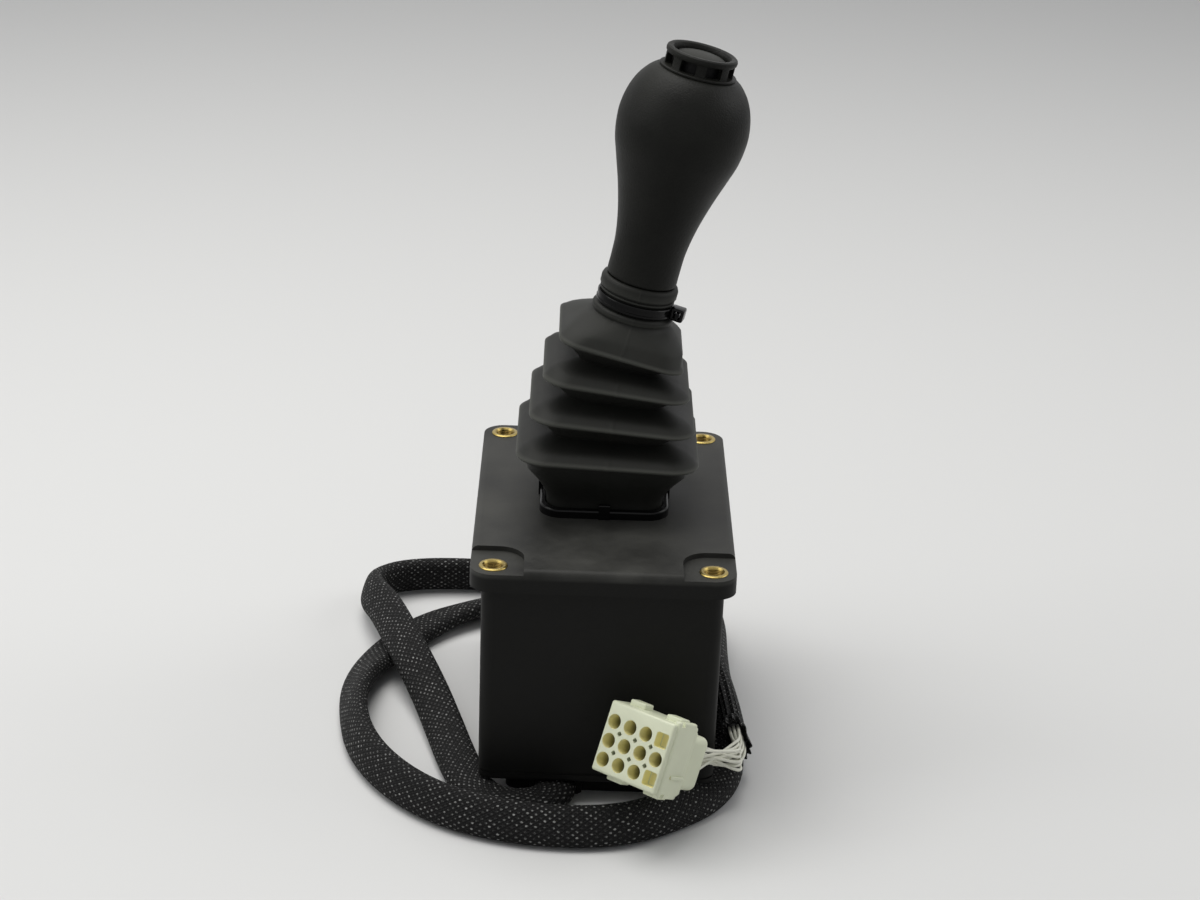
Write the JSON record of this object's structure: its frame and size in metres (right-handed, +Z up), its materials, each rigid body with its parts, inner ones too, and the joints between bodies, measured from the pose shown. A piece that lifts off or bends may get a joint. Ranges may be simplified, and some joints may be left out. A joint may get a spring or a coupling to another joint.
{
  "type": "panel mount industrial joystick",
  "caption": "Panel mount joystick with a folded gaiter, a bulb grip with a push button in a guard ring, a box body and a sleeved cable with a plug",
  "frame": {"origin": "centre of the box's footprint, on the surface that it stands on", "axes": "+Z up, out of the mounting flange; +Y along the flange's long side; the lever leans towards +X at rest"},
  "size_m": [0.1562, 0.2332, 0.2595],
  "materials": {
    "moulded_black": "fine moulded texture, satin on the edges",
    "grip_black": "smooth satin moulding",
    "gaiter_rubber": "soft matt rubber with lit ridges",
    "seal_rubber": "matt",
    "tie_nylon": "glossy nylon",
    "brass": "turned, slightly dulled",
    "bronze": "sintered bronze",
    "steel": "machined",
    "magnet": "nickel plated",
    "can_aluminium": "satin",
    "acetal": "natural acetal",
    "circuit_board": "solder mask",
    "chip_black": "moulded package",
    "connector_nylon": "natural nylon, slightly translucent",
    "wire_white": "extruded insulation",
    "braided_sleeve": "braided filament with small glints"
  },
  "bodies": {
    "base": {"housing": "moulded_black", "mounting_inserts": "brass", "bottom_cover": "moulded_black", "cover_gasket": "seal_rubber", "cover_screws": "steel", "cable_outlet": "seal_rubber", "cord_clamp": "moulded_black", "clamp_screws": "steel", "bearing_tower": "moulded_black", "tower_screws": "steel", "tower_bushes": "bronze", "tower_friction_washers": "acetal", "boot_frame": "moulded_black", "gaiter": "gaiter_rubber", "sensor_board": "circuit_board", "hall_sensors": "chip_black", "controller_board": "circuit_board", "board_standoffs": "brass", "board_screws": "steel", "controller_chips": "chip_black", "capacitors": "can_aluminium", "wire_header": "connector_nylon", "header_pins": "brass", "cable_sleeve": "braided_sleeve", "sleeve_end_cuff": "braided_sleeve", "connector_housing": "connector_nylon", "connector_contacts": "brass", "connector_wires": "wire_white"},
    "yoke": {"gimbal_ring": "steel", "ring_pins": "steel", "ring_pin_clips": "steel", "ring_bushes": "bronze", "ring_friction_washers": "acetal"},
    "lever": {"lever_hub": "steel", "cross_pins": "steel", "cross_pin_clips": "steel", "lever_shaft": "steel", "magnet_cup": "can_aluminium", "magnet": "magnet", "grip": "grip_black", "grip_lock_nut": "steel", "guard_ring": "grip_black", "cable_tie": "tie_nylon", "button_switch": "chip_black", "switch_carrier": "moulded_black", "button_return_dome": "seal_rubber"},
    "button": {"push_button": "grip_black"}
  },
  "joints": [
    {"name": "tilt_left_right", "type": "hinge", "parent": "base", "child": "yoke", "pos_m": [0, 0, 0.1275], "axis": [0, 1, 0], "range_deg": [-32.2, 7.8], "deforming": ["gaiter"]},
    {"name": "tilt_fore_aft", "type": "hinge", "parent": "yoke", "child": "lever", "pos_m": [0, 0, 0.1275], "axis": [0.9774, 0, -0.2113], "range_deg": [-20, 20], "deforming": ["gaiter"]},
    {"name": "button_press", "type": "slide", "parent": "lever", "child": "button", "axis": [-0.2113, 0, -0.9774], "range_m": [0, 0.0016], "stiffness_N_per_m": 900, "springref_m": -0.0006, "deforming": ["button_return_dome"]}
  ]
}
